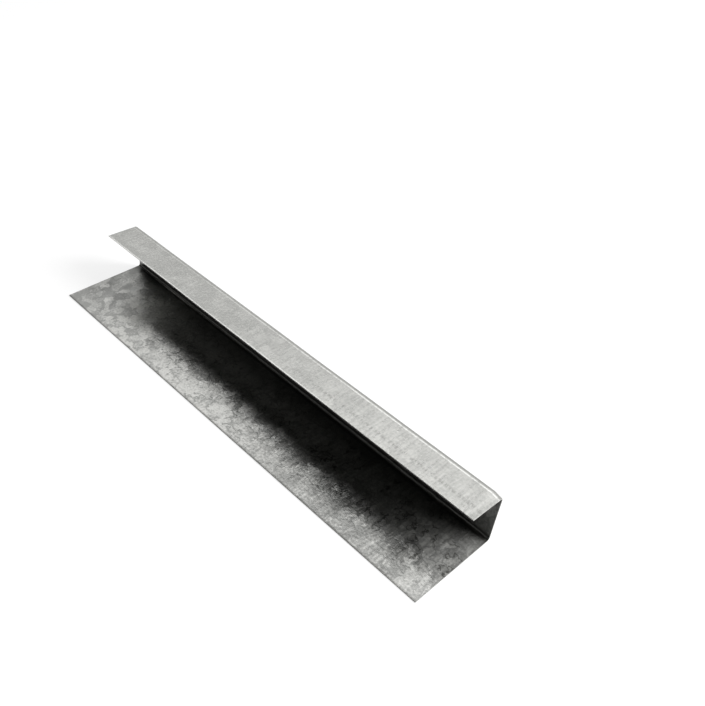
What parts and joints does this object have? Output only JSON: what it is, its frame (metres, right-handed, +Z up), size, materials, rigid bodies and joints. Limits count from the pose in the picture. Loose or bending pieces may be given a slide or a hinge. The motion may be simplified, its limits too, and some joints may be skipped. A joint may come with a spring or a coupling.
{
  "type": "furring channel track",
  "caption": "Short length of roll-formed galvanised steel track with a wide flange, a web and a narrow lip, which holds the ends of ceiling furring channels at a wall.",
  "frame": {"origin": "on the surface that the track lies on, under the middle of the wide flange", "axes": "+X along the length, +Y from the wide flange's free edge to the web, +Z up from the wide flange to the lip"},
  "size_m": [0.28, 0.051, 0.03],
  "materials": {
    "galvanised_sheet": "hot-dip galvanised, spangled, satin"
  },
  "bodies": {
    "root": {"track": "galvanised_sheet"}
  },
  "joints": []
}
